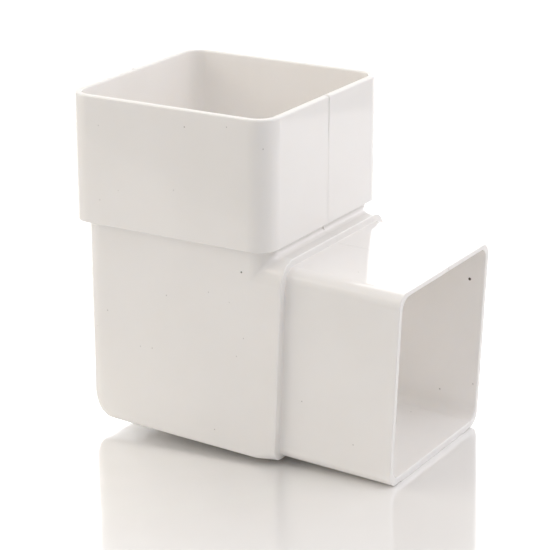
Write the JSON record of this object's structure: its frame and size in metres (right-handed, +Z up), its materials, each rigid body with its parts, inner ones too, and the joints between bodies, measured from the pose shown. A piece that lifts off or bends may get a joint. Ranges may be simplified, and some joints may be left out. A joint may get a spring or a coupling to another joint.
{
  "type": "downspout elbow",
  "caption": "Square plastic downspout elbow: a socket for the pipe above, a bend with a rounded heel, and a stepped spigot that leads rainwater out of the front.",
  "frame": {"origin": "centre of the pipe stop, where the end of the upper pipe seats in the socket", "axes": "+Z up the socket's axis, +X forwards over the spigot, +Y across the part"},
  "size_m": [0.1116, 0.0708, 0.1081],
  "materials": {
    "white_plastic": "smooth moulded gloss"
  },
  "bodies": {
    "root": {"downspout_elbow": "white_plastic"}
  },
  "joints": []
}
